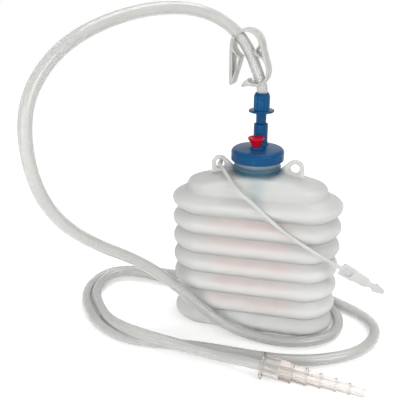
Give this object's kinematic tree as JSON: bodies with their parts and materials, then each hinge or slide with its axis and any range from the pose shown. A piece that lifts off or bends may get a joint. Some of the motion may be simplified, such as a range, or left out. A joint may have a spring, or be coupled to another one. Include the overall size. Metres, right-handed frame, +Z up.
{
  "type": "closed wound drainage reservoir",
  "caption": "Flat-oval bellows bottle with press-on cap, vent plug, long drain tube with pinch clamp, hanging strap and stepped connector, for wound drainage by suction.",
  "frame": {"origin": "centre of the bottle's flat base, on the surface it stands on", "axes": "+Z up through the neck, +X along the bottle's long side, towards the strap's free end, -Y towards the bottle's front, where the strap lies"},
  "size_m": [0.2454, 0.1681, 0.2398],
  "materials": {
    "bottle_ldpe": "frosted translucent",
    "cap_blue": "satin",
    "valve_teal": "matt",
    "plug_red": "satin",
    "connector_blue": "satin",
    "clamp_white": "satin",
    "tube_pvc": "clear and glossy",
    "connector_clear": "clear and glossy",
    "strap_pe": "frosted translucent"
  },
  "bodies": {
    "bottle": {"bellows_bottle": "bottle_ldpe"},
    "reservoir_top": {"cap": "cap_blue", "inlet_valve": "valve_teal"},
    "vent_plug": {"vent_plug": "plug_red"},
    "tube_set": {"tubing_connector": "connector_blue", "pinch_clamp": "clamp_white", "drain_tube": "tube_pvc", "stepped_connector": "connector_clear"},
    "hanging_strap": {"hanging_strap": "strap_pe"}
  },
  "joints": [
    {"name": "bellows_squeeze", "type": "slide", "parent": "bottle", "child": "reservoir_top", "axis": [0, 0, 1], "range_m": [-0.04, 0], "stiffness_N_per_m": 1200, "springref_m": 0.003, "deforming": ["bellows_bottle"]},
    {"name": "vent_plug_pull", "type": "slide", "parent": "reservoir_top", "child": "vent_plug", "axis": [0, 0, 1], "range_m": [0, 0.014]},
    {"name": "tube_set_pull", "type": "slide", "parent": "reservoir_top", "child": "tube_set", "axis": [0, 0, 1], "range_m": [0, 0.013]},
    {"name": "strap_swing", "type": "hinge", "parent": "reservoir_top", "child": "hanging_strap", "pos_m": [-0.0274, 0, 0.1276], "axis": [0, 1, 0], "range_deg": [-70, 0]}
  ]
}
